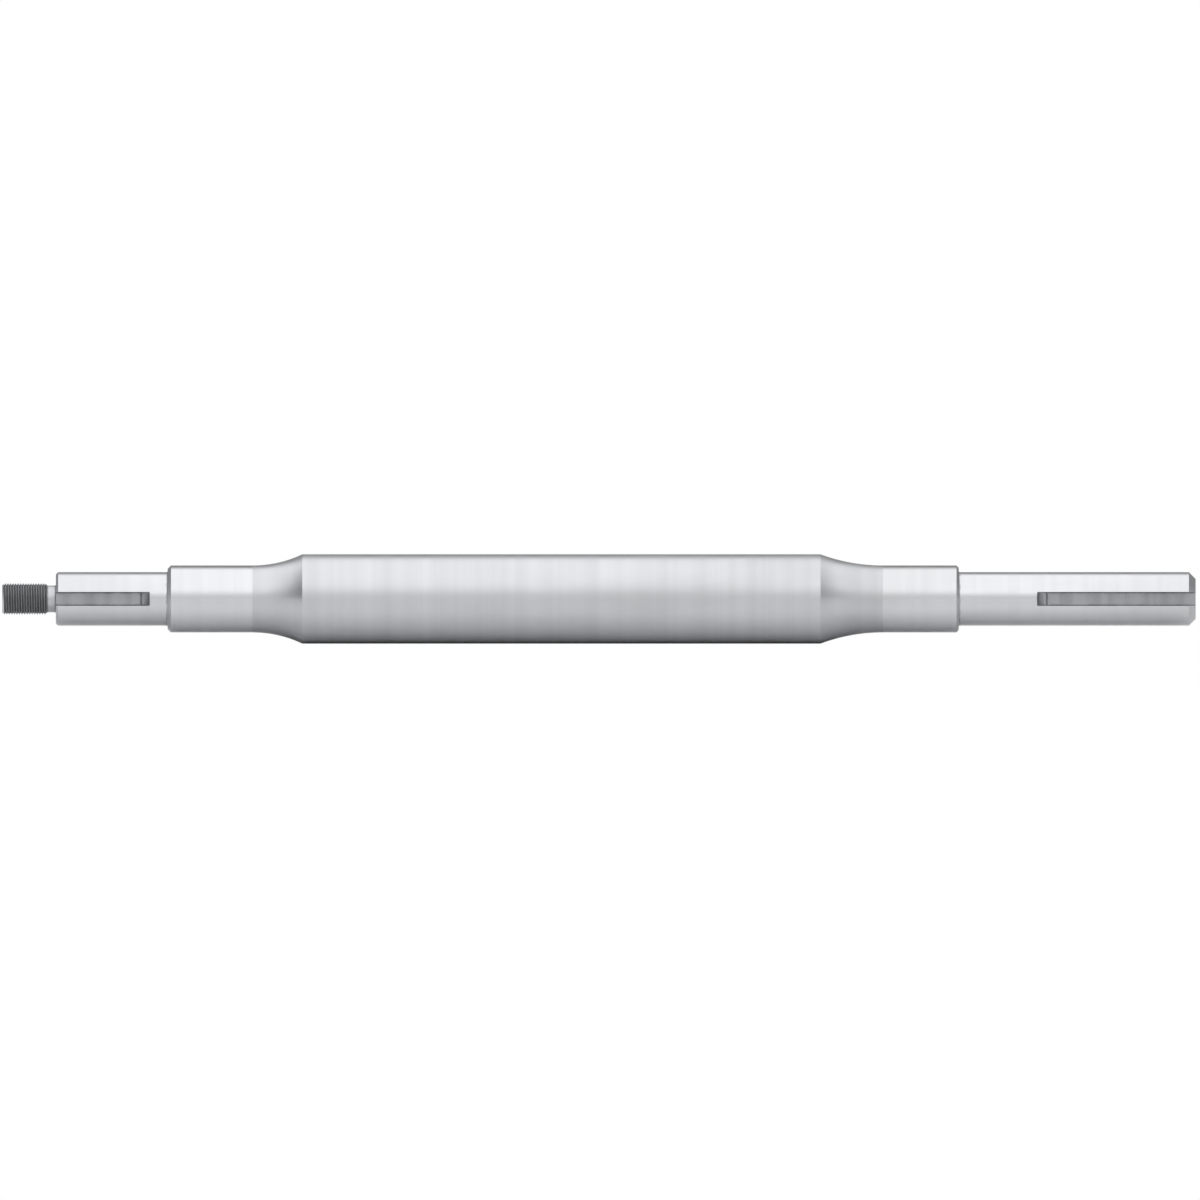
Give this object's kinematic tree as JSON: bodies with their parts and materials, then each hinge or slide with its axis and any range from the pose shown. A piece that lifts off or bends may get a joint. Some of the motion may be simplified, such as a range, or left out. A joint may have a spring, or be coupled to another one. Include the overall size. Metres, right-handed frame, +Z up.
{
  "type": "countershaft",
  "caption": "Stepped steel countershaft: plain body with hollow-radius shoulders, ground bearing journals, keyed hub seats and a threaded end for a retaining nut.",
  "frame": {"origin": "on the shaft's axis at mid-length, halfway between the two end faces", "axes": "+X along the axis from the threaded end to the long keyed end, -Y out of the open tops of both keyways, +Z up"},
  "size_m": [0.8478, 0.0634, 0.0635],
  "materials": {
    "turned_steel": "bright turned body, ground journals and seats, milled keyways"
  },
  "bodies": {
    "root": {"countershaft": "turned_steel"}
  },
  "joints": []
}
